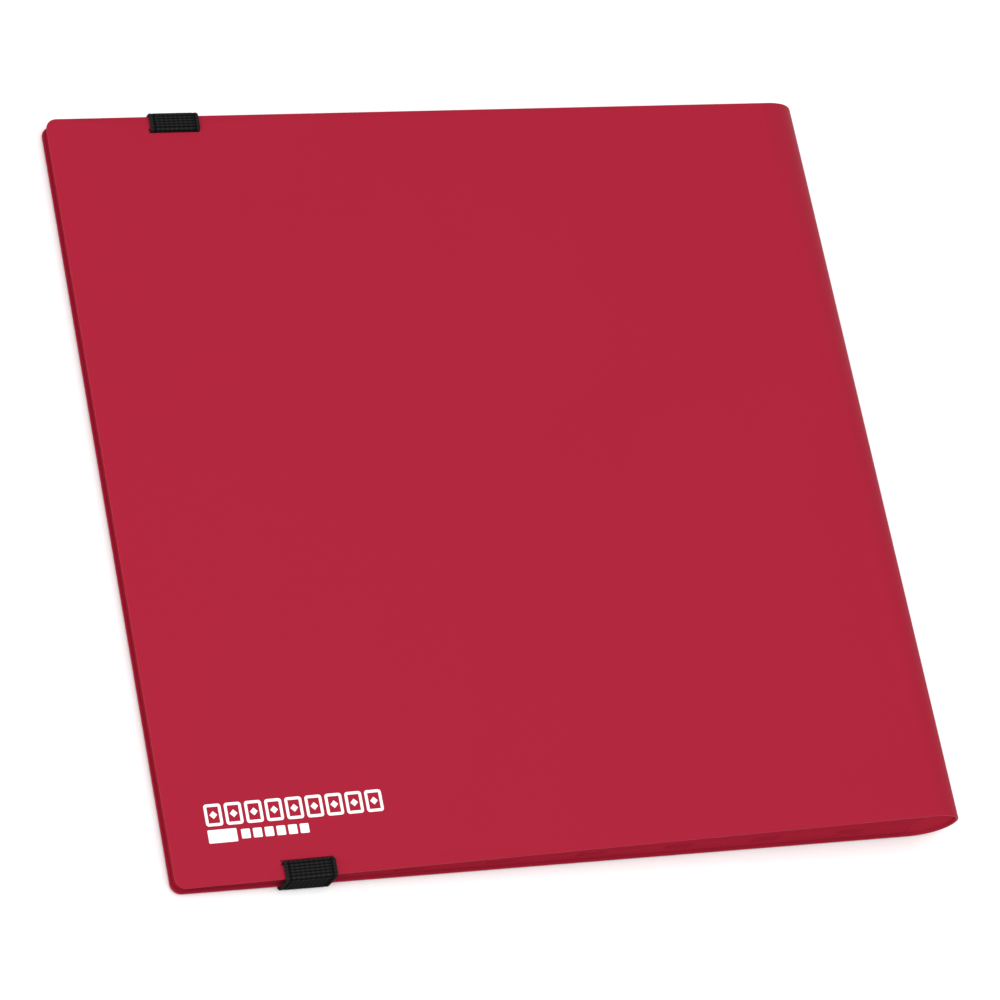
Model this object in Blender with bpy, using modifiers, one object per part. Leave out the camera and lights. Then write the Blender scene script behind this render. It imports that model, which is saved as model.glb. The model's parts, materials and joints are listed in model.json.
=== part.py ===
"""A side-loading card binder, closed and lying on its front cover. Metres, +Z up.

The fore edge is at -X, the spine at +X, and the height of the covers runs along Y.
Every piece is placed in the wedge frame: its origin is halfway between the two creases,
its X axis halves the wedge between the covers, and the covers mirror each other across it.
"""

import math

import bmesh
import bpy
from mathutils import Matrix, Vector

# Covers and spine, one polypropylene sheet folded at two creases
COVER_HEIGHT = 0.308
COVER_DEPTH = 0.3068  # crease to fore edge
COVER_SHEET = 0.001  # thickness
CORNER_RADIUS = 0.0042
FORE_THICKNESS = 0.0076  # outer face to outer face
SPINE_THICKNESS = 0.0264  # outer face to outer face, at the creases
SPINE_BULGE = 0.0144  # how far the rounded spine stands past the creases
CREASE_GAP = 0.0003
SPINE_SQUARENESS = 2.2  # 2 is an ellipse, and more is squarer
SPINE_STEPS = 24

# Leaves
LEAVES_PER_SIDE = 10
LEAF_SHEET = 0.0002
LEAF_INSET = 0.0012  # cover edge past leaf edge
LEAF_CORNER_RADIUS = 0.004
LEAF_CLEARANCE = 0.0003  # first leaf to its cover, with the binder open flat
LEAF_FAN = 0.0003  # from one leaf to the next, with the binder open flat
CORNER_STEPS = 6

# Block of the leaves' margins, welded together inside the spine
BINDING_OFFSET = 0.0003  # crease to block
BINDING_CLEARANCE = 0.0003  # spine to block
BINDING_STEPS = 20

# Elastic closure
ELASTIC_WIDTH = 0.020
ELASTIC_SHEET = 0.0012
ELASTIC_SETBACK = 0.0416  # fore edge to elastic
ELASTIC_REACH = 0.0063  # cover edge to the far side of the slit's filling
ELASTIC_BEND_RADIUS = 0.0009
ELASTIC_BEND_STEPS = 3
CLEARANCE = 0.0002

# What follows from them
WEDGE = math.asin((SPINE_THICKNESS - FORE_THICKNESS) / (2 * COVER_DEPTH))
REST_HEIGHT = ELASTIC_SHEET + CLEARANCE
TILT_POWER = SPINE_SQUARENESS / (SPINE_SQUARENESS - 1)
TILTED_BULGE = (
    (SPINE_BULGE * math.cos(WEDGE)) ** TILT_POWER
    + (SPINE_THICKNESS / 2 * math.sin(WEDGE)) ** TILT_POWER
) ** (1 / TILT_POWER)
SPINE_REACH = CREASE_GAP / 2 * math.cos(WEDGE) + TILTED_BULGE
FORE_REACH = COVER_DEPTH + (FORE_THICKNESS - SPINE_THICKNESS / 2) * math.sin(WEDGE)
WEDGE_X = (FORE_REACH - SPINE_REACH) / 2
WEDGE_Z = REST_HEIGHT + SPINE_THICKNESS / 2 * math.cos(WEDGE)
FRONT, BACK = -1, 1


def on_cover(side, distance, height):
    """(x, z) at a distance from the crease and a height over the outer face."""
    x = -distance * math.cos(WEDGE) - height * math.sin(WEDGE)
    z = SPINE_THICKNESS / 2 - distance * math.sin(WEDGE) + height * math.cos(WEDGE)
    return x, side * z


def inner_half_gap(x):
    """From the wedge's middle plane to a cover's inner face."""
    return SPINE_THICKNESS / 2 - COVER_SHEET / math.cos(WEDGE) + x * math.tan(WEDGE)


def clear_scene():
    for obj in list(bpy.data.objects):
        bpy.data.objects.remove(obj, do_unlink=True)


def new_collection(name):
    collection = bpy.data.collections.new(name)
    bpy.context.scene.collection.children.link(collection)
    return collection


def plastic(name, color, roughness):
    material = bpy.data.materials.new(name)
    material.use_nodes = True
    shader = material.node_tree.nodes["Principled BSDF"]
    shader.inputs["Base Color"].default_value = (*color, 1)
    shader.inputs["Roughness"].default_value = roughness
    shader.inputs["Metallic"].default_value = 0
    return material


def finish(name, bm, material, collection, frame):
    """An object of this mesh in the wedge frame."""
    mesh = bpy.data.meshes.new(name)
    bm.to_mesh(mesh)
    bm.free()
    mesh.materials.append(material)
    obj = bpy.data.objects.new(name, mesh)
    obj.parent = frame
    collection.objects.link(obj)
    return obj


def box(low, high):
    bm = bmesh.new()
    size = Vector(high) - Vector(low)
    middle = (Vector(high) + Vector(low)) / 2
    place = Matrix.Translation(middle) @ Matrix.Diagonal((*size, 1))
    bmesh.ops.create_cube(bm, size=1, matrix=place)
    return bm


def runs_along(edge, axis):
    step = edge.verts[1].co - edge.verts[0].co
    return abs(step[axis]) > 0.99 * step.length


def rounded_sheet(depth, height, low, high, radius):
    """A flat sheet on the -X side of its hinge axis, its two fore-edge corners rounded."""
    bm = box((-depth, -height / 2, low), (-CREASE_GAP / 2, height / 2, high))
    corners = [
        edge
        for edge in bm.edges
        if runs_along(edge, 2) and edge.verts[0].co.x < -depth / 2
    ]
    bmesh.ops.bevel(
        bm,
        geom=corners,
        offset=radius,
        offset_type="OFFSET",
        segments=CORNER_STEPS,
        profile=0.5,
        affect="EDGES",
        material=-1,
    )
    return bm


def prism(outline, sweep):
    """A flat outline of 3-D points, swept along a vector."""
    bm = bmesh.new()
    face = bm.faces.new([bm.verts.new(point) for point in outline])
    swept = bmesh.ops.extrude_face_region(bm, geom=[face])["geom"]
    moved = [item for item in swept if isinstance(item, bmesh.types.BMVert)]
    bmesh.ops.translate(bm, vec=sweep, verts=moved)
    bmesh.ops.recalc_face_normals(bm, faces=bm.faces)
    return bm


def add_cover(name, side, material, collection, frame):
    """A cover, with its origin on its crease at the outer face."""
    low, high = sorted((0, -side * COVER_SHEET))
    sheet = rounded_sheet(COVER_DEPTH, COVER_HEIGHT, low, high, CORNER_RADIUS)
    cover = finish(name, sheet, material, collection, frame)
    cover.location.z = side * SPINE_THICKNESS / 2
    cover.rotation_euler.y = -side * WEDGE
    return cover


def half_round(reach, half_height, steps):
    """(x, z) points of a rounded spine's cross-section, from the bottom to the top."""
    power = 2 / SPINE_SQUARENESS
    points = []
    for step in range(steps + 1):
        angle = math.pi * (step / steps - 0.5)
        across = max(0, math.cos(angle)) ** power
        along = math.copysign(abs(math.sin(angle)) ** power, angle)
        points.append((reach * across, half_height * along))
    return points


def add_spine(material, collection, frame):
    """The rounded spine, a squared half ellipse between the creases."""
    bm = bmesh.new()
    verts = []
    for x, z in half_round(SPINE_BULGE, SPINE_THICKNESS / 2, SPINE_STEPS):
        verts.append(bm.verts.new((CREASE_GAP / 2 + x, -COVER_HEIGHT / 2, z)))
    profile = [bm.edges.new(pair) for pair in zip(verts, verts[1:])]
    swept = bmesh.ops.extrude_edge_only(bm, edges=profile)["geom"]
    moved = [item for item in swept if isinstance(item, bmesh.types.BMVert)]
    bmesh.ops.translate(bm, vec=(0, COVER_HEIGHT, 0), verts=moved)
    bm.normal_update()
    outermost = max(bm.faces, key=lambda face: face.calc_center_median().x)
    if outermost.normal.x < 0:
        bmesh.ops.reverse_faces(bm, faces=bm.faces)
    spine = finish("spine_panel", bm, material, collection, frame)
    thicken = spine.modifiers.new("sheet thickness", "SOLIDIFY")
    thicken.thickness = COVER_SHEET
    thicken.offset = -1
    thicken.use_even_offset = True
    return spine


def leaf_places():
    """(name, share of the half gap, pivot x) of each leaf, from the front cover up."""
    places = []
    for number in range(2 * LEAVES_PER_SIDE):
        share = (number + 0.5) / LEAVES_PER_SIDE - 1
        from_cover = min(number, 2 * LEAVES_PER_SIDE - 1 - number)
        first = COVER_SHEET + LEAF_CLEARANCE + LEAF_SHEET / 2
        pivot = -(first + from_cover * LEAF_FAN)
        places.append((f"leaf_{number + 1:02d}", share, pivot))
    return places


def add_leaf(name, share, pivot, material, collection, frame):
    """A leaf of pockets, with its origin on the line that it turns about."""
    tilt = math.atan(share * math.tan(WEDGE))
    fore_edge = COVER_DEPTH * math.cos(WEDGE) - LEAF_INSET
    depth = (fore_edge + pivot) / math.cos(tilt)
    height = COVER_HEIGHT - 2 * LEAF_INSET
    half = LEAF_SHEET / 2
    sheet = rounded_sheet(depth, height, -half, half, LEAF_CORNER_RADIUS)
    leaf = finish(name, sheet, material, collection, frame)
    leaf.location = (pivot, 0, share * inner_half_gap(pivot))
    leaf.rotation_euler.y = -tilt


def add_binding(material, collection, frame):
    """The leaves' margins, welded into a block that fills the spine and holds each leaf."""
    half = LEAF_SHEET / 2
    length = COVER_HEIGHT - 2 * LEAF_INSET
    inset = COVER_SHEET + BINDING_CLEARANCE
    reach = SPINE_BULGE - inset + CREASE_GAP / 2 - BINDING_OFFSET
    rounded = half_round(reach, SPINE_THICKNESS / 2 - inset, BINDING_STEPS)
    profile = [(BINDING_OFFSET + x, z) for x, z in reversed(rounded)]
    for _, share, pivot in leaf_places():
        tip = pivot + CREASE_GAP / 2
        root_z = share * inner_half_gap(BINDING_OFFSET)
        tip_z = share * inner_half_gap(tip)
        profile += [(BINDING_OFFSET, root_z - half), (tip, tip_z - half)]
        profile += [(tip, tip_z + half), (BINDING_OFFSET, root_z + half)]
    outline = [(x, -length / 2, z) for x, z in profile]
    bm = prism(outline, (0, length, 0))
    finish("leaf_binding", bm, material, collection, frame)


def elastic_span():
    """The elastic's two edges, as distances from the crease."""
    far = COVER_DEPTH - ELASTIC_SETBACK
    return far, far - ELASTIC_WIDTH


def add_elastic_band(material, collection, frame):
    """The long run of the elastic, across the outside of the front cover."""
    far, near = elastic_span()
    low = (-far, -COVER_HEIGHT / 2, -CLEARANCE - ELASTIC_SHEET)
    high = (-near, COVER_HEIGHT / 2, -CLEARANCE)
    band = finish("elastic_band", box(low, high), material, collection, frame)
    band.location.z = -SPINE_THICKNESS / 2
    band.rotation_euler.y = WEDGE


def add_elastic_wrap(name, end, material, collection, frame):
    """The short run of the elastic over the covers' edges, at one end of the height."""
    far, near = elastic_span()
    lift = CLEARANCE + ELASTIC_SHEET
    corners = [(BACK, far), (BACK, near), (FRONT, near), (FRONT, far)]
    inner = end * (COVER_HEIGHT / 2 + CLEARANCE)
    outer = inner + end * ELASTIC_SHEET
    outline = []
    for side, distance in corners:
        x, z = on_cover(side, distance, lift)
        outline.append((x, inner, z))
    bm = prism(outline, (0, end * ELASTIC_SHEET, 0))
    bends = [
        edge
        for edge in bm.edges
        if not runs_along(edge, 2)
        and not runs_along(edge, 1)
        and abs(edge.verts[0].co.y - outer) < ELASTIC_SHEET / 2
        and abs(edge.verts[1].co.y - outer) < ELASTIC_SHEET / 2
    ]
    bmesh.ops.bevel(
        bm,
        geom=bends,
        offset=ELASTIC_BEND_RADIUS,
        offset_type="OFFSET",
        segments=ELASTIC_BEND_STEPS,
        profile=0.5,
        affect="EDGES",
        material=-1,
    )
    finish(name, bm, material, collection, frame)


def add_elastic_end(name, end, cover, material, collection):
    """An end of the elastic, flat on the back cover and down into its slit."""
    far, near = elastic_span()
    edge = COVER_HEIGHT / 2
    tail = edge - ELASTIC_REACH
    top = CLEARANCE + ELASTIC_SHEET
    profile = [
        (edge, CLEARANCE),
        (edge, top),
        (tail, top),
        (tail, -COVER_SHEET),
        (tail + ELASTIC_SHEET, -COVER_SHEET),
        (tail + ELASTIC_SHEET, CLEARANCE),
    ]
    outline = [(-far, end * y, z) for y, z in profile]
    bm = prism(outline, (far - near, 0, 0))
    finish(name, bm, material, collection, cover)


def cut_slit(name, end, cover, cutters):
    """A slit for the elastic's end through the back cover."""
    far, near = elastic_span()
    tail = COVER_HEIGHT / 2 - ELASTIC_REACH
    ends = sorted((end * (tail - CLEARANCE), end * (tail + ELASTIC_SHEET + CLEARANCE)))
    low = (-far - CLEARANCE, ends[0], -2 * COVER_SHEET)
    high = (-near + CLEARANCE, ends[1], COVER_SHEET)
    cutter = finish(name, box(low, high), cover.data.materials[0], cutters, cover)
    cutter.hide_render = True
    cutter.display_type = "WIRE"
    cut = cover.modifiers.new(name, "BOOLEAN")
    cut.operation = "DIFFERENCE"
    cut.solver = "EXACT"
    cut.object = cutter


def main():
    clear_scene()
    binder = new_collection("card_binder")
    cutters = new_collection("cutters")
    cover_red = plastic("cover_red", (0.445, 0.021, 0.048), 0.45)
    leaf_red = plastic("leaf_red", (0.40, 0.018, 0.042), 0.35)
    elastic_black = plastic("elastic_black", (0.012, 0.012, 0.014), 0.9)

    frame = bpy.data.objects.new("wedge_frame", None)
    frame.location = (WEDGE_X, 0, WEDGE_Z)
    frame.rotation_euler.y = -WEDGE
    binder.objects.link(frame)

    add_cover("front_cover", FRONT, cover_red, binder, frame)
    add_spine(cover_red, binder, frame)
    back_cover = add_cover("back_cover", BACK, cover_red, binder, frame)
    add_binding(leaf_red, binder, frame)
    for name, share, pivot in leaf_places():
        add_leaf(name, share, pivot, leaf_red, binder, frame)

    add_elastic_band(elastic_black, binder, frame)
    for where, end in (("bottom", -1), ("top", 1)):
        add_elastic_wrap(f"elastic_wrap_{where}", end, elastic_black, binder, frame)
        add_elastic_end(f"elastic_end_{where}", end, back_cover, elastic_black, binder)
        cut_slit(f"slit_{where}", end, back_cover, cutters)


main()
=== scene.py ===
import json
import math

import bmesh
import bpy
from mathutils import Matrix, Vector


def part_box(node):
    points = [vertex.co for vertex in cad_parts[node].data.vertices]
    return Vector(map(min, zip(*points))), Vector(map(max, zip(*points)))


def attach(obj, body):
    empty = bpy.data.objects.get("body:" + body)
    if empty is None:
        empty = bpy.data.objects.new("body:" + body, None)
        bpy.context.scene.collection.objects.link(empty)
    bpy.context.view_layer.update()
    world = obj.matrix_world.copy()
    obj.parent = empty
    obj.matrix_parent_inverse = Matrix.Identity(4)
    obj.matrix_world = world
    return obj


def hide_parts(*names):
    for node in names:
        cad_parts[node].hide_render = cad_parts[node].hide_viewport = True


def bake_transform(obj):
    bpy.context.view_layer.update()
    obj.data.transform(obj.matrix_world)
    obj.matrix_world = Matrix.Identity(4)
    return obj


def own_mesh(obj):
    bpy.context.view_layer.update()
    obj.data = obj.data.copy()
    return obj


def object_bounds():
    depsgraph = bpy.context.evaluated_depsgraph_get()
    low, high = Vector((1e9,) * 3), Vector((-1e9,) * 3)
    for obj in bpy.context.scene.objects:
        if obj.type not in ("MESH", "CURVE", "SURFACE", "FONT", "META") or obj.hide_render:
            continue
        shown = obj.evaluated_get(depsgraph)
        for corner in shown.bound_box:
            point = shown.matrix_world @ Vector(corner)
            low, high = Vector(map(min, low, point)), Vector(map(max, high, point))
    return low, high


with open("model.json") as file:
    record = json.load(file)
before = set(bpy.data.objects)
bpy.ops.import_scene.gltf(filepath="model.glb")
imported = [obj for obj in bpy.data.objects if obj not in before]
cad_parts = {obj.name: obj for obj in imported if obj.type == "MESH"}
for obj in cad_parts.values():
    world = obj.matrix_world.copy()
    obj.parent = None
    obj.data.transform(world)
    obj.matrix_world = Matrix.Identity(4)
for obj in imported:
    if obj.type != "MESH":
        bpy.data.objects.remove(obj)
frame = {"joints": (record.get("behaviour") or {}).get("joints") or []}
cad_low, cad_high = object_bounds()


# --- The folded sheet: front cover, rounded spine and back cover ------------------------
# One sheet of red polypropylene, a millimetre thick, with a fine matt grain. It is folded
# at two creases, so its lower half bends between the front cover and the spine and its
# upper half between the spine and the back cover. The halves meet along mid-spine.
joints = {joint["name"]: joint for joint in frame["joints"]}
lower_crease = Vector(joints["spine_fold"]["pos_m"])
upper_crease = Vector(joints["back_cover_fold"]["pos_m"])
front_low, front_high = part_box("front_cover")
cover_depth = lower_crease.x - front_low.x
cover_height = front_high.y - front_low.y
sheet_thickness = front_high.z - front_low.z
spine_middle = (lower_crease + upper_crease) / 2
spine_half = (upper_crease - lower_crease).length / 2
spine_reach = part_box("spine_panel")[1].x - spine_middle.x
wedge = math.atan2(lower_crease.x - upper_crease.x, upper_crease.z - lower_crease.z)
corner_radius = 0.0042
corner_steps = 8
spine_steps = 40
spine_squareness = 2.2
broad_face = 0.001
smooth_limit = math.radians(35)
rim_angle = math.radians(50)
edge_round = 0.00025
crease_bend = 0.003
slit_play = 0.0003
slit_lean = 0.00095
slit_inset = 0.00035
slit_depth = 0.01
pit_scale, cloud_scale = 2600, 14
roughness_spread = 0.04
FRONT, BACK = -1, 1


def in_wedge(x, y, z):
    """A point whose x halves the wedge between the covers, from the middle of the spine."""
    turned = Vector((x * math.cos(wedge) - z * math.sin(wedge), 0, 0))
    turned.z = x * math.sin(wedge) + z * math.cos(wedge)
    return spine_middle + turned + Vector((0, y, 0))


def on_cover(side, distance, y, height):
    """A point at a distance from a cover's crease and a height over its outer face."""
    x = -distance * math.cos(wedge) - height * math.sin(wedge)
    z = spine_half - distance * math.sin(wedge) + height * math.cos(wedge)
    return in_wedge(x, y, side * z)


def swept(bm, points, sweep):
    """Edges through the points, swept along a vector into a strip of faces."""
    verts = [bm.verts.new(point) for point in points]
    edges = [bm.edges.new(pair) for pair in zip(verts, verts[1:])]
    made = bmesh.ops.extrude_edge_only(bm, edges=edges)["geom"]
    moved = [item for item in made if isinstance(item, bmesh.types.BMVert)]
    bmesh.ops.translate(bm, vec=sweep, verts=moved)


def spine_curve(reach, half, angle):
    """(x, z) in the wedge on the rounded spine: 0 at its middle, 90 degrees at a crease."""
    power = 2 / spine_squareness
    x = reach * max(0, math.cos(angle)) ** power
    return x, half * math.copysign(abs(math.sin(angle)) ** power, angle)


def piece(name, bm, *materials):
    """A finished object of this mesh, smooth but for its sharp edges and broad flats."""
    mesh = bpy.data.meshes.new(name)
    bm.to_mesh(mesh)
    bm.free()
    for material in materials:
        mesh.materials.append(material)
    mesh.shade_smooth()
    mesh.set_sharp_from_angle(angle=smooth_limit)
    for face in mesh.polygons:
        face.use_smooth = face.area < broad_face
    obj = bpy.data.objects.new(name, mesh)
    bpy.context.scene.collection.objects.link(obj)
    return obj


def settled(obj):
    """The object with its modifiers made part of its mesh, as a bmesh."""
    bpy.context.view_layer.update()
    graph = bpy.context.evaluated_depsgraph_get()
    bm = bmesh.new()
    bm.from_object(obj, graph)
    bpy.data.objects.remove(obj, do_unlink=True)
    return bm


def grain_group():
    """Sheet grain: fine pits, and slow clouds that vary colour and roughness a little."""
    group = bpy.data.node_groups.new("sheet_grain", "ShaderNodeTree")
    sockets = group.interface
    sockets.new_socket("Position", in_out="INPUT", socket_type="NodeSocketVector")
    sockets.new_socket("Pit Scale", in_out="INPUT", socket_type="NodeSocketFloat")
    sockets.new_socket("Cloud Scale", in_out="INPUT", socket_type="NodeSocketFloat")
    sockets.new_socket("Pits", in_out="OUTPUT", socket_type="NodeSocketFloat")
    sockets.new_socket("Clouds", in_out="OUTPUT", socket_type="NodeSocketFloat")
    nodes, links = group.nodes, group.links
    given = nodes.new("NodeGroupInput")
    result = nodes.new("NodeGroupOutput")
    for output, scale, detail in (("Pits", "Pit Scale", 3), ("Clouds", "Cloud Scale", 4)):
        noise = nodes.new("ShaderNodeTexNoise")
        noise.inputs["Detail"].default_value = detail
        noise.inputs["Roughness"].default_value = 0.55
        links.new(given.outputs["Position"], noise.inputs["Vector"])
        links.new(given.outputs[scale], noise.inputs["Scale"])
        links.new(noise.outputs["Fac"], result.inputs[output])
    return group


sheet_grain = grain_group()


def new_material(name, roughness, gloss):
    """A new material, with its nodes, its links and its Principled shader."""
    material = bpy.data.materials.new(name)
    material.use_nodes = True
    shader = material.node_tree.nodes["Principled BSDF"]
    shader.inputs["Roughness"].default_value = roughness
    shader.inputs["Specular IOR Level"].default_value = gloss
    return material, material.node_tree.nodes, material.node_tree.links, shader


def placed_grain(nodes, links, pits, clouds):
    """The grain group at two scales, read at the object's own coordinates."""
    coordinates = nodes.new("ShaderNodeTexCoord")
    grain = nodes.new("ShaderNodeGroup")
    grain.node_tree = sheet_grain
    grain.inputs["Pit Scale"].default_value = pits
    grain.inputs["Cloud Scale"].default_value = clouds
    links.new(coordinates.outputs["Object"], grain.inputs["Position"])
    return grain


def between(nodes, links, source, low, high):
    """The source's middle range, spread from low to high."""
    spread = nodes.new("ShaderNodeMapRange")
    spread.inputs["From Min"].default_value = 0.3
    spread.inputs["From Max"].default_value = 0.7
    spread.inputs["To Min"].default_value = low
    spread.inputs["To Max"].default_value = high
    links.new(source, spread.inputs["Value"])
    return spread.outputs["Result"]


def mixed_colors(nodes, links, source, first, second):
    """The first colour where the source is 0, and the second where it is 1."""
    mix = nodes.new("ShaderNodeMix")
    mix.data_type = "RGBA"
    mix.inputs["A"].default_value = (*first, 1)
    mix.inputs["B"].default_value = (*second, 1)
    links.new(source, mix.inputs["Factor"])
    return mix.outputs["Result"]


def bumped(nodes, links, shader, height, distance, strength):
    """Fine relief from a height, on the shader's normal."""
    bump = nodes.new("ShaderNodeBump")
    bump.inputs["Distance"].default_value = distance
    bump.inputs["Strength"].default_value = strength
    links.new(height, bump.inputs["Height"])
    links.new(bump.outputs["Normal"], shader.inputs["Normal"])


def grained_plastic(name, first, second, roughness, gloss, pit_depth):
    """Matt polypropylene: two close tones in slow clouds, under a fine pitted grain."""
    material, nodes, links, shader = new_material(name, roughness, gloss)
    grain = placed_grain(nodes, links, pit_scale, cloud_scale)
    clouds, pits = grain.outputs["Clouds"], grain.outputs["Pits"]
    tone = mixed_colors(nodes, links, clouds, first, second)
    links.new(tone, shader.inputs["Base Color"])
    smoothest, roughest = roughness - roughness_spread, roughness + roughness_spread
    dull = between(nodes, links, clouds, smoothest, roughest)
    links.new(dull, shader.inputs["Roughness"])
    bumped(nodes, links, shader, pits, pit_depth, 0.5)
    return material


cover_red = grained_plastic(
    "cover_red", (0.314, 0.0098, 0.0288), (0.328, 0.0106, 0.0306), 0.60, 0.08, 0.00003
)


def skin_outline(side):
    """The outer face in section, from the fore edge to mid-spine."""
    y = -cover_height / 2
    points = [on_cover(side, cover_depth, y, 0), on_cover(side, crease_bend, y, 0)]
    for step in range(spine_steps + 1):
        angle = math.pi / 2 * (1 - step / spine_steps)
        x, z = spine_curve(spine_reach, spine_half, angle)
        points.append(in_wedge(x, y, side * z))
    return points


def folded_skin(name, side, slits):
    """Half of the folded sheet, its outline swept along Y, thickened inwards and cut."""
    bm = bmesh.new()
    swept(bm, skin_outline(side), (0, cover_height, 0))
    fore_edge = cad_low.x + corner_radius
    bmesh.ops.bevel(
        bm,
        geom=[vert for vert in bm.verts if vert.co.x < fore_edge],
        offset=corner_radius,
        segments=corner_steps,
        profile=0.5,
        affect="VERTICES",
        material=-1,
    )
    bm.normal_update()
    flat = max(bm.faces, key=lambda face: face.calc_area())
    if flat.normal.z * side < 0:
        bmesh.ops.reverse_faces(bm, faces=bm.faces)
    skin = piece(name, bm, cover_red)
    wall = skin.modifiers.new("wall", "SOLIDIFY")
    wall.thickness = sheet_thickness
    wall.offset = -1
    for slit in slits:
        cut = skin.modifiers.new("slit", "BOOLEAN")
        cut.object = slit
    bm = settled(skin)
    seam = in_wedge(0, 0, 0)
    across = in_wedge(0, 0, 1) - seam
    rims = [
        edge
        for edge in bm.edges
        if len(edge.link_faces) == 2
        and edge.calc_face_angle() > rim_angle
        and max(abs((vert.co - seam).dot(across)) for vert in edge.verts) > 1e-5
    ]
    bmesh.ops.bevel(
        bm,
        geom=rims,
        offset=edge_round,
        offset_type="OFFSET",
        segments=2,
        profile=0.5,
        affect="EDGES",
        material=-1,
    )
    return piece(name, bm, cover_red)


def slit_cutter(end_node):
    """The slot that the elastic's end goes into."""
    low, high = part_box(end_node)
    end = math.copysign(1, low.y)
    tail = min(abs(low.y), abs(high.y)) + elastic_sheet / 2 - slit_inset
    middle = Vector(((low.x + high.x) / 2 - slit_lean, end * tail, low.z))
    size = (high.x - low.x + slit_play, elastic_sheet + 2 * slit_play, slit_depth)
    bm = bmesh.new()
    place = Matrix.Translation(middle) @ Matrix.Diagonal((*size, 1))
    bmesh.ops.create_cube(bm, size=1, matrix=place)
    return piece("slit", bm, cover_red)


band_low, band_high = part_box("elastic_band")
elastic_sheet = band_high.z - band_low.z
slits = [slit_cutter("elastic_end_bottom"), slit_cutter("elastic_end_top")]
lower_skin = folded_skin("cover_sheet_lower", FRONT, [])
upper_skin = folded_skin("cover_sheet_upper", BACK, slits)
for slit in slits:
    bpy.data.objects.remove(slit, do_unlink=True)
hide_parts("front_cover", "spine_panel")
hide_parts("back_cover")
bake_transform(lower_skin)
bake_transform(upper_skin)


# --- The leaves' welded margins ---------------------------------------------------------
# The twenty leaves end in soft margins that are welded together, strip on strip, into a
# block that fills the rounded spine. Each leaf bends where its own strip leaves the block.
leaf_count = 20
leaf_inset = 0.0012
strip_gap = 0.00007
block_clearance = 0.0003
block_steps = 24
hinge_gap = 0.00015
leaf_tone = (0.338, 0.0147, 0.0334)
leaf_tone_deep = (0.318, 0.0138, 0.0314)
page_red = grained_plastic("page_red", leaf_tone, leaf_tone_deep, 0.7, 0.0, 0.00002)


def half_gap(x):
    """From the wedge's middle plane to a cover's inner face."""
    return spine_half - sheet_thickness / math.cos(wedge) + x * math.tan(wedge)


def leaf_place(number):
    """(pivot, tilt, x in the wedge) of the line that a leaf turns about."""
    pivot = Vector(joints[f"leaf_{number:02d}_turn"]["pos_m"])
    share = (2 * number - 1) / leaf_count - 1
    tilt = wedge + math.atan(share * math.tan(wedge))
    along = Vector((math.cos(wedge), 0, math.sin(wedge)))
    return pivot, tilt, (pivot - spine_middle).dot(along)


def margin_outline(y):
    """The block in section: round at the back, and one strip for each leaf in front."""
    inset = sheet_thickness + block_clearance
    points = []
    for step in range(2 * block_steps + 1):
        angle = math.pi / 2 * (1 - step / block_steps)
        x, z = spine_curve(spine_reach - inset, spine_half - inset, angle)
        points.append(in_wedge(x, y, z))
    for number in range(1, leaf_count + 1):
        _, _, x = leaf_place(number)
        share = (2 * number - 1) / leaf_count - 1
        for place, sign in ((0, -1), (x + hinge_gap, -1), (x + hinge_gap, 1), (0, 1)):
            half_strip = half_gap(place) / leaf_count - strip_gap / 2
            points.append(in_wedge(place, y, share * half_gap(place) + sign * half_strip))
    return points


bm = bmesh.new()
outline = margin_outline(leaf_inset - cover_height / 2)
end_face = bm.faces.new([bm.verts.new(point) for point in outline])
swept_block = bmesh.ops.extrude_face_region(bm, geom=[end_face])["geom"]
bmesh.ops.translate(
    bm,
    vec=(0, cover_height - 2 * leaf_inset, 0),
    verts=[item for item in swept_block if isinstance(item, bmesh.types.BMVert)],
)
bmesh.ops.recalc_face_normals(bm, faces=bm.faces)
margins = piece("leaf_margins", bm, page_red)
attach(margins, "spine")
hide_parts("leaf_binding")


# --- The pocket leaves ------------------------------------------------------------------
# Each leaf is a thin deep red sheet with a clear film welded to both sides. Welds part the
# films into three rows of four pockets, and each pocket's mouth opens towards the spine.
# Its three free edges end in a soft hem, which fills the room between it and its neighbours.
backing_sheet = 0.00010
film_sheet = 0.00004
film_inset = 0.0010
film_puff = 0.00003
leaf_corner_radius = 0.004
fore_margin = 0.004
pocket_width = 0.0705
pocket_height = 0.0955
weld_width = 0.003
mouth_width = 0.0014
pocket_slope = 0.002
columns, rows = 4, 3

ripple_height, knurl_height = 0.0004, 0.00005
film_clear, nodes, links, shader = new_material("pocket_film", 0.12, 0.5)
shader.inputs["Base Color"].default_value = (0.46, 0.085, 0.115, 1)
shader.inputs["Alpha"].default_value = 0.3
shader.inputs["Coat Weight"].default_value = 1.0
shader.inputs["Coat Roughness"].default_value = 0.08
ripple = placed_grain(nodes, links, 900, 38)
bumped(nodes, links, shader, ripple.outputs["Clouds"], ripple_height, 0.35)

film_weld, nodes, links, shader = new_material("film_weld", 0.35, 0.4)
shader.inputs["Base Color"].default_value = (0.42, 0.06, 0.09, 1)
shader.inputs["Alpha"].default_value = 0.5
knurl = placed_grain(nodes, links, 1400, 60)
bumped(nodes, links, shader, knurl.outputs["Pits"], knurl_height, 0.8)


def leaf_sheet(depth, height, radius):
    """A flat sheet in the leaf's own plane, its fore-edge corners rounded."""
    bm = bmesh.new()
    place = Matrix.Translation((-depth / 2, 0, 0)) @ Matrix.Diagonal((depth, height, 1, 1))
    bmesh.ops.create_grid(bm, x_segments=1, y_segments=1, size=0.5, matrix=place)
    bmesh.ops.bevel(
        bm,
        geom=[vert for vert in bm.verts if vert.co.x < -depth / 2],
        offset=radius,
        segments=corner_steps,
        profile=0.5,
        affect="VERTICES",
        material=-1,
    )
    return bm


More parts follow.
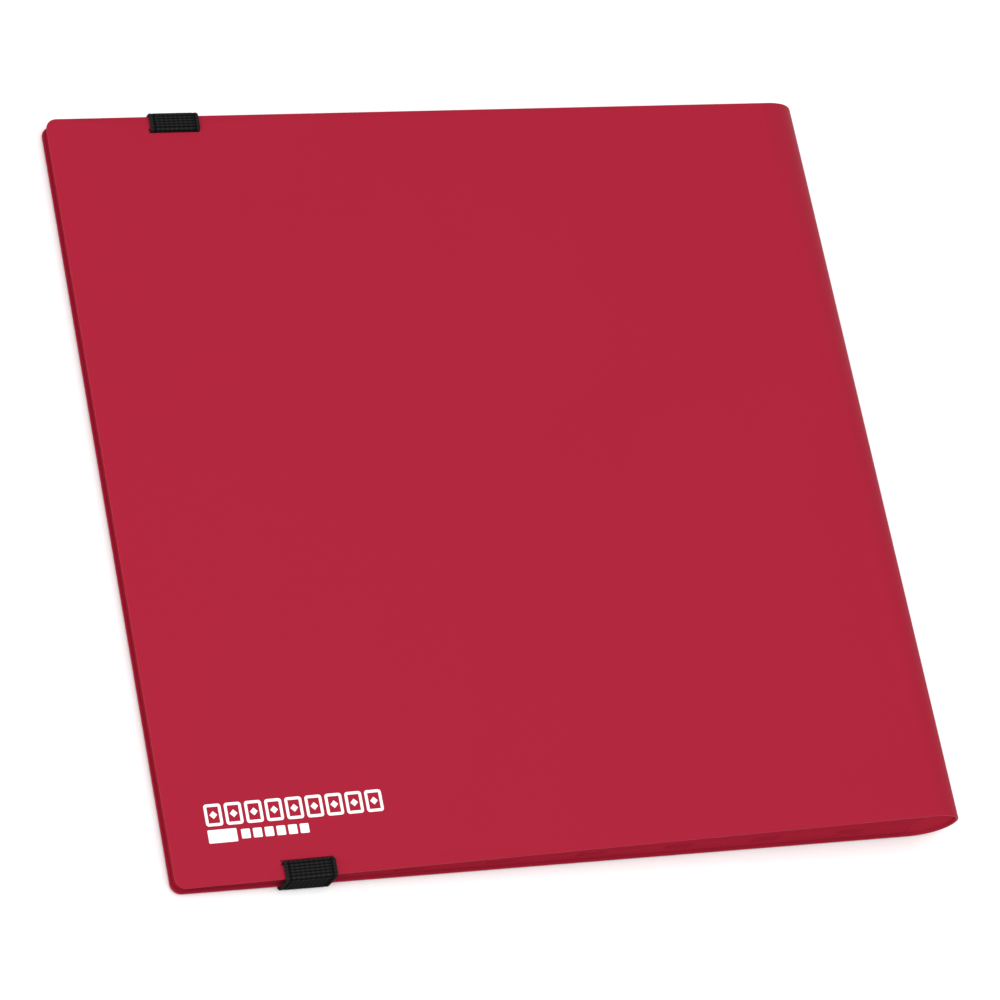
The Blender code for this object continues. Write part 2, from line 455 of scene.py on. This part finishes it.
def cut_across(bm, place, direction):
    """New edges where a plane meets the sheet."""
    geometry = bm.verts[:] + bm.edges[:] + bm.faces[:]
    bmesh.ops.bisect_plane(bm, geom=geometry, plane_co=place, plane_no=direction)


def pocket_columns(depth):
    """(fore end, mouth, weld) of each column, as x in the leaf's own plane."""
    places = []
    for column in range(columns):
        near = -depth + fore_margin + column * (pocket_width + weld_width)
        places.append((near, near + pocket_width - mouth_width, near + pocket_width))
    return places


def pocket_rows():
    """(low, high) of each row, as y in the leaf's own plane."""
    pitch = pocket_height + weld_width
    low = -(rows * pitch - weld_width) / 2
    return [(low + row * pitch, low + row * pitch + pocket_height) for row in range(rows)]


def leaf_film(depth, height, level):
    """One clear film at a height over the backing's middle: welded flat, pockets puffed."""
    bm = leaf_sheet(depth, height, leaf_corner_radius)
    spans = pocket_columns(depth)
    for x in sorted({place for span in spans for place in span}):
        cut_across(bm, (x, 0, 0), (1, 0, 0))
    for y in (place for span in pocket_rows() for place in span):
        cut_across(bm, (0, y, 0), (0, 1, 0))
    pockets, mouths = [], []
    for face in bm.faces:
        middle = face.calc_center_median()
        face.material_index = 1
        if not any(low < middle.y < high for low, high in pocket_rows()):
            continue
        for fore, mouth, weld in spans:
            if fore < middle.x < mouth:
                face.material_index = 0
                pockets.append(face)
            if mouth < middle.x < weld:
                mouths.append(face)
    bmesh.ops.delete(bm, geom=mouths, context="FACES")
    lifted = math.copysign(film_puff, level)
    inner = bmesh.ops.inset_individual(bm, faces=pockets, thickness=pocket_slope)
    bmesh.ops.translate(
        bm,
        vec=(0, 0, lifted),
        verts=list({vert for face in pockets for vert in face.verts}),
    )
    for face in inner["faces"]:
        face.material_index = 0
    bmesh.ops.translate(bm, vec=(0, 0, level), verts=bm.verts)
    return bm


def thickened(bm, name, thickness, materials, place):
    """The sheet given its thickness about its own plane, and put in place."""
    sheet = piece(name, bm, *materials)
    wall = sheet.modifiers.new("wall", "SOLIDIFY")
    wall.thickness = thickness
    wall.offset = 0
    bm = settled(sheet)
    bm.transform(place)
    return piece(name, bm, *materials)


def weld_marks_group():
    """Rows of short upright marks left by a toothed weld, as a mask along X."""
    group = bpy.data.node_groups.new("weld_marks", "ShaderNodeTree")
    group.interface.new_socket("Position", in_out="INPUT", socket_type="NodeSocketVector")
    group.interface.new_socket("Marks", in_out="OUTPUT", socket_type="NodeSocketFloat")
    nodes, links = group.nodes, group.links
    given = nodes.new("NodeGroupInput")
    result = nodes.new("NodeGroupOutput")
    split = nodes.new("ShaderNodeSeparateXYZ")
    links.new(given.outputs["Position"], split.inputs["Vector"])
    masks = []
    for period, share in ((mark_pitch, mark_share), (mark_group, mark_group_share)):
        turns = nodes.new("ShaderNodeMath")
        turns.operation = "DIVIDE"
        turns.inputs[1].default_value = period
        links.new(split.outputs["X"], turns.inputs[0])
        phase = nodes.new("ShaderNodeMath")
        phase.operation = "FRACT"
        links.new(turns.outputs["Value"], phase.inputs[0])
        inside = nodes.new("ShaderNodeMath")
        inside.operation = "LESS_THAN"
        inside.inputs[1].default_value = share
        links.new(phase.outputs["Value"], inside.inputs[0])
        masks.append(inside.outputs["Value"])
    both = nodes.new("ShaderNodeMath")
    both.operation = "MULTIPLY"
    links.new(masks[0], both.inputs[0])
    links.new(masks[1], both.inputs[1])
    links.new(both.outputs["Value"], result.inputs["Marks"])
    return group


hem_width = 0.0025
hem_sheet = 0.0002
marked_leaves = range(6, 11)
mark_pitch, mark_share = 0.00185, 0.45
mark_group, mark_group_share = 0.0370, 0.31
mark_tone = (0.233, 0.0094, 0.0218)
hem_marked, nodes, links, shader = new_material("hem_marked", 0.7, 0.0)
coordinates = nodes.new("ShaderNodeTexCoord")
weld_marks = nodes.new("ShaderNodeGroup")
weld_marks.node_tree = weld_marks_group()
links.new(coordinates.outputs["Object"], weld_marks.inputs["Position"])
tone = mixed_colors(nodes, links, weld_marks.outputs["Marks"], leaf_tone, mark_tone)
links.new(tone, shader.inputs["Base Color"])


def hem_ring(depth, height):
    """The leaf's border along its three free edges, still flat."""
    bm = leaf_sheet(depth, height, leaf_corner_radius)
    inner = bmesh.ops.inset_region(
        bm,
        faces=bm.faces[:],
        thickness=hem_width,
        use_even_offset=True,
        use_boundary=True,
    )
    rim = set(inner["faces"])
    middle = [face for face in bm.faces if face not in rim]
    spine_end = [face for face in rim if face.calc_center_median().x > -hem_width]
    bmesh.ops.delete(bm, geom=middle + spine_end, context="FACES")
    return bm


def filled_out(hem, pivot_x):
    """The hem made as thick as a leaf's share of the room between the covers."""
    for vert in hem.data.vertices:
        room = 2 * half_gap(pivot_x + vert.co.x) / leaf_count - strip_gap
        vert.co.z *= room / hem_sheet


for number in range(1, leaf_count + 1):
    leaf = f"leaf_{number:02d}"
    pivot, tilt, pivot_x = leaf_place(number)
    leaf_low, leaf_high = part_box(leaf)
    depth = (pivot.x - leaf_low.x) / math.cos(tilt)
    height = leaf_high.y - leaf_low.y
    place = Matrix.Translation(pivot) @ Matrix.Rotation(-tilt, 4, "Y")
    backing = thickened(
        leaf_sheet(depth, height, leaf_corner_radius),
        f"{leaf}_backing",
        backing_sheet,
        [page_red],
        place,
    )
    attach(backing, leaf)
    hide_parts(leaf)
    for facing, side in (("front", FRONT), ("back", BACK)):
        level = side * (backing_sheet + film_sheet) / 2
        film = thickened(
            leaf_film(depth - film_inset, height - 2 * film_inset, level),
            f"{leaf}_{facing}_film",
            film_sheet,
            [film_clear, film_weld],
            place,
        )
        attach(film, leaf)
    hem = thickened(
        hem_ring(depth, height),
        f"{leaf}_hem",
        hem_sheet,
        [hem_marked if number in marked_leaves else page_red],
        Matrix.Identity(4),
    )
    filled_out(hem, pivot_x)
    hem.data.transform(place)
    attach(hem, leaf)
    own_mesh(hem)


# --- The elastic closure ----------------------------------------------------------------
# One black woven elastic, 20 mm wide. Its ends go down through slits in the back cover,
# and it runs over both edges and down the front cover. Ribs cross it between two beaded
# selvedges. It is made as two halves that meet at mid-height.
rib_pitch = 0.00115
rib_depth = 0.00012
samples_per_rib = 6
groove_place = 0.0018
groove_width = 0.0004
groove_depth = 0.00012
selvedge = 0.0024
selvedge_rib = 0.7
rolled_share = 0.8
rim_share = 0.35
knot_shade = 0.5
cord_light, bead_shade = 0.8, 0.45
yarn_height = 0.00005
strap_columns = 40
bend_radius = 0.0011
bend_steps = 6
plug_depth = 0.0010
strap_half_sheet = elastic_sheet / 2

end_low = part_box("elastic_end_top")[0]
wrap_low, wrap_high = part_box("elastic_wrap_top")
strap_near = lower_crease.x - band_high.x
strap_far = lower_crease.x - band_low.x
strap_width = strap_far - strap_near
strap_lift = front_low.z - (band_low.z + band_high.z) / 2
tail_y = end_low.y + strap_half_sheet - slit_inset
wrap_y = (wrap_low.y + wrap_high.y) / 2


def rounded_route(corners, radius):
    """The corners' polyline with each inner corner turned through an arc."""
    route = [corners[0]]
    for before, corner, after in zip(corners, corners[1:], corners[2:]):
        back = (before - corner).normalized()
        ahead = (after - corner).normalized()
        for step in range(bend_steps + 1):
            turn = math.pi / 2 * step / bend_steps
            offset = back * (1 - math.sin(turn)) + ahead * (1 - math.cos(turn))
            route.append(corner + offset * radius)
    route.append(corners[-1])
    return route


def evenly(route, spacing):
    """Points a fixed spacing apart along the route, with their directions."""
    places, along = [], 0.0
    for first, second in zip(route, route[1:]):
        length = (second - first).length
        if length < 1e-9:
            continue
        direction = (second - first) / length
        while along <= length:
            places.append((first + direction * along, direction))
            along += spacing
        along -= length
    places.append((route[-1], direction))
    return places


def strap_height(side, distance):
    """World height of the strap's middle over a cover, at a distance from its crease."""
    return on_cover(side, distance, 0, strap_lift).z


def strap_half(name, end):
    """The strap from its slit round a cover's edge to mid-height, as one closed tube."""
    middle = (strap_near + strap_far) / 2
    top, bottom = strap_height(BACK, middle), strap_height(FRONT, middle)
    corners = [
        Vector((tail_y, top - strap_lift - plug_depth)),
        Vector((tail_y, top)),
        Vector((wrap_y, top)),
        Vector((wrap_y, bottom)),
        Vector((0, bottom)),
    ]
    spacing = rib_pitch / samples_per_rib
    places = evenly(rounded_route(corners, bend_radius), spacing)
    around = 2 * strap_columns
    bm = bmesh.new()
    bmesh.ops.create_grid(bm, x_segments=len(places) - 1, y_segments=around, size=0.5)
    uv = bm.loops.layers.uv.new("strap")
    flat = {}
    for vert in bm.verts:
        step = round((vert.co.x + 0.5) * (len(places) - 1))
        turn = round((vert.co.y + 0.5) * around)
        flat[vert] = (step, turn)
    for face in bm.faces:
        for loop in face.loops:
            step, turn = flat[loop.vert]
            loop[uv].uv = (step * spacing, turn * strap_width / strap_columns)
    for vert, (step, turn) in flat.items():
        place, direction = places[step]
        outside = turn <= strap_columns
        across = turn if outside else around - turn
        share = across / strap_columns
        inset = min(share, 1 - share) * strap_width
        shoulder = math.sqrt(min(1, inset / (strap_half_sheet * rolled_share)))
        rib = selvedge_rib
        if inset > selvedge:
            rib = math.sin(math.pi * step / samples_per_rib) ** 2
        groove = math.exp(-(((inset - groove_place) / groove_width) ** 2))
        sunk = rib_depth * (1 - rib) + groove_depth * groove
        thick = strap_half_sheet * (rim_share + (1 - rim_share) * shoulder) - sunk
        normal = Vector((-direction.y, direction.x))
        spot = place + normal * (thick if outside else -thick)
        up = min(1, max(0, (place.y - bottom) / (top - bottom)))
        distance = strap_near + share * strap_width + up * slit_lean
        here_top, here_bottom = strap_height(BACK, distance), strap_height(FRONT, distance)
        level = (spot.y - bottom) / (top - bottom)
        height = here_bottom + level * (here_top - here_bottom)
        vert.co = (lower_crease.x - distance, end * spot.x, height)
    bmesh.ops.remove_doubles(bm, verts=bm.verts, dist=1e-6)
    rims = [edge for edge in bm.edges if edge.is_boundary]
    bmesh.ops.holes_fill(bm, edges=rims, sides=0)
    bmesh.ops.recalc_face_normals(bm, faces=bm.faces)
    return piece(name, bm, elastic_black)


def waves(nodes, links, source, pitch, axis):
    """A smooth 0 to 1 and back in each pitch along one axis of the strap's own map."""
    split = nodes.new("ShaderNodeSeparateXYZ")
    links.new(source, split.inputs["Vector"])
    turns = nodes.new("ShaderNodeMath")
    turns.operation = "MULTIPLY"
    turns.inputs[1].default_value = 2 * math.pi / pitch
    links.new(split.outputs[axis], turns.inputs[0])
    wave = nodes.new("ShaderNodeMath")
    wave.operation = "COSINE"
    links.new(turns.outputs["Value"], wave.inputs[0])
    spread = nodes.new("ShaderNodeMapRange")
    spread.inputs["From Min"].default_value = -1
    links.new(wave.outputs["Value"], spread.inputs["Value"])
    return spread.outputs["Result"]


def combined(nodes, links, operation, first, second):
    """Two masks put together by a Math node's operation."""
    both = nodes.new("ShaderNodeMath")
    both.operation = operation
    links.new(first, both.inputs[0])
    links.new(second, both.inputs[1])
    return both.outputs["Value"]


# The elastic has no gloss of its own, so its sheen is painted into its colour. The light
# tone is a painted highlight on rib crests, knots and selvedge beads. The dark tone is
# painted shade in the valleys between ribs and in the grooves.
yarn_pitch = 0.0019
painted_highlight_black = (0.0215, 0.0215, 0.0208)
painted_shade_black = (0.0045, 0.0045, 0.0047)
elastic_black, nodes, links, shader = new_material("elastic_black", 0.9, 0.0)
strap_uv = nodes.new("ShaderNodeUVMap")
strap_uv.uv_map = "strap"
# Painted highlight along each rib's crest, which follows the geometric ribs and is broken at
# the yarn knots, with painted shade in the valleys.
ribs = waves(nodes, links, strap_uv.outputs["UV"], rib_pitch, "X")
yarns = waves(nodes, links, strap_uv.outputs["UV"], yarn_pitch, "Y")
crests = nodes.new("ShaderNodeMapRange")
crests.inputs["From Min"].default_value = 1
crests.inputs["From Max"].default_value = 0
links.new(ribs, crests.inputs["Value"])
knot_highlights = between(nodes, links, yarns, knot_shade, 1)
split = nodes.new("ShaderNodeSeparateXYZ")
links.new(strap_uv.outputs["UV"], split.inputs["Vector"])
inset = nodes.new("ShaderNodeMath")
inset.operation = "PINGPONG"
inset.inputs[1].default_value = strap_width / 2
links.new(split.outputs["Y"], inset.inputs[0])
# Painted shade: the crest highlight is masked out in the sunk groove beside each selvedge,
# so the groove stays at the dark tone.
groove = nodes.new("ShaderNodeMapRange")
groove.inputs["From Min"].default_value = groove_place + groove_width / 2
groove.inputs["From Max"].default_value = selvedge
links.new(inset.outputs["Value"], groove.inputs["Value"])
rib_crest_highlights = combined(nodes, links, "MULTIPLY", crests.outputs["Result"], knot_highlights)
rib_crest_highlights = combined(nodes, links, "MULTIPLY", rib_crest_highlights, groove.outputs["Result"])
# Painted highlight on the cord at each edge, outside the groove, brightest on each bead.
edge_cord_highlight = nodes.new("ShaderNodeMapRange")
edge_cord_highlight.inputs["From Min"].default_value = groove_place - groove_width / 2
edge_cord_highlight.inputs["From Max"].default_value = groove_place - groove_width * 3 / 2
edge_cord_highlight.inputs["To Max"].default_value = cord_light
links.new(inset.outputs["Value"], edge_cord_highlight.inputs["Value"])
bead_highlights = between(nodes, links, crests.outputs["Result"], bead_shade, 1)
cord_highlights = combined(nodes, links, "MULTIPLY", edge_cord_highlight.outputs["Result"], bead_highlights)
lit = combined(nodes, links, "MAXIMUM", rib_crest_highlights, cord_highlights)
# Base colour: the dark tone where painted shade falls and the light tone where painted
# highlights fall.
weave_with_painted_light = mixed_colors(nodes, links, lit, painted_shade_black, painted_highlight_black)
links.new(weave_with_painted_light, shader.inputs["Base Color"])
bumped(nodes, links, shader, yarns, yarn_height, 0.8)

for name, end, nodes_replaced in (
    ("elastic_strap_bottom", -1, ("elastic_end_bottom", "elastic_wrap_bottom")),
    ("elastic_strap_top", 1, ("elastic_end_top", "elastic_wrap_top", "elastic_band")),
):
    strap = strap_half(name, end)
    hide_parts(*nodes_replaced)
    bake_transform(strap)


# --- The printed mark -------------------------------------------------------------------
# White ink on the back cover, near the fore edge: a row of card outlines, each with a pip,
# and under it one solid block and a row of bars. It is a generic mark, with no lettering.
ink_sheet = 0.00003
ink_lift = 0.00001
mark_left = 0.0150
mark_right = 0.0835
mark_base = 0.0221
card_count = 9
card_height = 0.0084
card_radius = 0.0011
card_line = 0.0011
card_gap = 0.0012
pip_size = 0.0021
block_base = 0.0157
block_width, block_height = 0.0110, 0.0050
block_radius = card_line / 3
bar_count = 6
bar_start, bar_pitch, bar_rise = 0.0126, 0.0045, 0.0008
bar_width, bar_height = 0.0034, 0.0036
ink_white, nodes, links, shader = new_material("ink_white", 0.5, 0.3)
shader.inputs["Base Color"].default_value = (0.88, 0.86, 0.86, 1)


def ink_patch(bm, left, low, width, height, turn=0.0):
    """A flat patch of ink, measured from the cover's fore edge and bottom edge."""
    middle = (left + width / 2 - cover_depth, low + height / 2 - cover_height / 2, 0)
    place = Matrix.Translation(middle) @ Matrix.Rotation(turn, 4, "Z")
    size = Matrix.Diagonal((width, height, 1, 1))
    made = bmesh.ops.create_grid(
        bm, x_segments=1, y_segments=1, size=0.5, matrix=place @ size
    )
    return made["verts"]


def rounded_off(bm, corners, radius):
    """Each of the corners turned into a small arc."""
    bmesh.ops.bevel(
        bm,
        geom=corners,
        offset=radius,
        segments=4,
        profile=0.5,
        affect="VERTICES",
        material=-1,
    )


bm = bmesh.new()
pitch = (mark_right - mark_left + card_gap) / card_count
card_width = pitch - card_gap
corners = []
for card in range(card_count):
    left = mark_left + card * pitch
    corners += ink_patch(bm, left, mark_base, card_width, card_height)
rounded_off(bm, corners, card_radius)
outlines = bmesh.ops.inset_region(
    bm, faces=bm.faces[:], thickness=card_line, use_even_offset=True, use_boundary=True
)["faces"]
bmesh.ops.delete(bm, geom=list(set(bm.faces) - set(outlines)), context="FACES")
for card in range(card_count):
    left = mark_left + card * pitch + (card_width - pip_size) / 2
    low = mark_base + (card_height - pip_size) / 2
    ink_patch(bm, left, low, pip_size, pip_size, math.radians(45))
corners = ink_patch(bm, mark_left, block_base, block_width, block_height)
for bar in range(bar_count):
    left = mark_left + bar_start + bar * bar_pitch
    corners += ink_patch(bm, left, block_base + bar_rise, bar_width, bar_height)
rounded_off(bm, corners, block_radius)
on_back_cover = (
    Matrix.Translation(upper_crease)
    @ Matrix.Rotation(-2 * wedge, 4, "Y")
    @ Matrix.Translation((0, 0, ink_lift + ink_sheet / 2))
)
mark = thickened(bm, "printed_mark", ink_sheet, [ink_white], on_back_cover)
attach(mark, "back_cover")


# --- The stage --------------------------------------------------------------------------
# A pale floor in soft studio light: all round, from above and from the fore-edge side.
# The camera has a long lens, and looks down on the back cover from the bottom left.
bm = bmesh.new()
bmesh.ops.create_grid(bm, x_segments=1, y_segments=1, size=6)
floor_white, nodes, links, shader = new_material("floor_white", 0.9, 0.1)
shader.inputs["Base Color"].default_value = (0.97, 0.97, 0.97, 1)
floor = piece("floor", bm, floor_white)

world = bpy.data.worlds.new("studio")
world.use_nodes = True
world.node_tree.nodes["Background"].inputs["Color"].default_value = (1, 1, 1, 1)
world.node_tree.nodes["Background"].inputs["Strength"].default_value = 0.8
bpy.context.scene.world = world

for name, place, size, power in (
    ("key", (-0.2, -0.3, 2.4), 1.6, 28.5),
    ("fill", (-3.0, -0.6, 1.4), 2.0, 40),
):
    lamp = bpy.data.lights.new(name, "AREA")
    lamp.size = size
    lamp.energy = power
    light = bpy.data.objects.new(name, lamp)
    light.location = place
    aim = -Vector(place)
    light.rotation_euler = aim.to_track_quat("-Z", "Y").to_euler()
    bpy.context.scene.collection.objects.link(light)

lens = bpy.data.cameras.new("camera")
lens.lens = 146.86
lens.sensor_width = 36
camera = bpy.data.objects.new("camera", lens)
camera.location = (-0.67270, -0.52719, 1.33549)
camera.rotation_euler = [math.radians(turn) for turn in (24.1734, -22.5084, -11.8474)]
bpy.context.scene.collection.objects.link(camera)
bpy.context.scene.camera = camera
bpy.context.scene.view_settings.view_transform = "Standard"
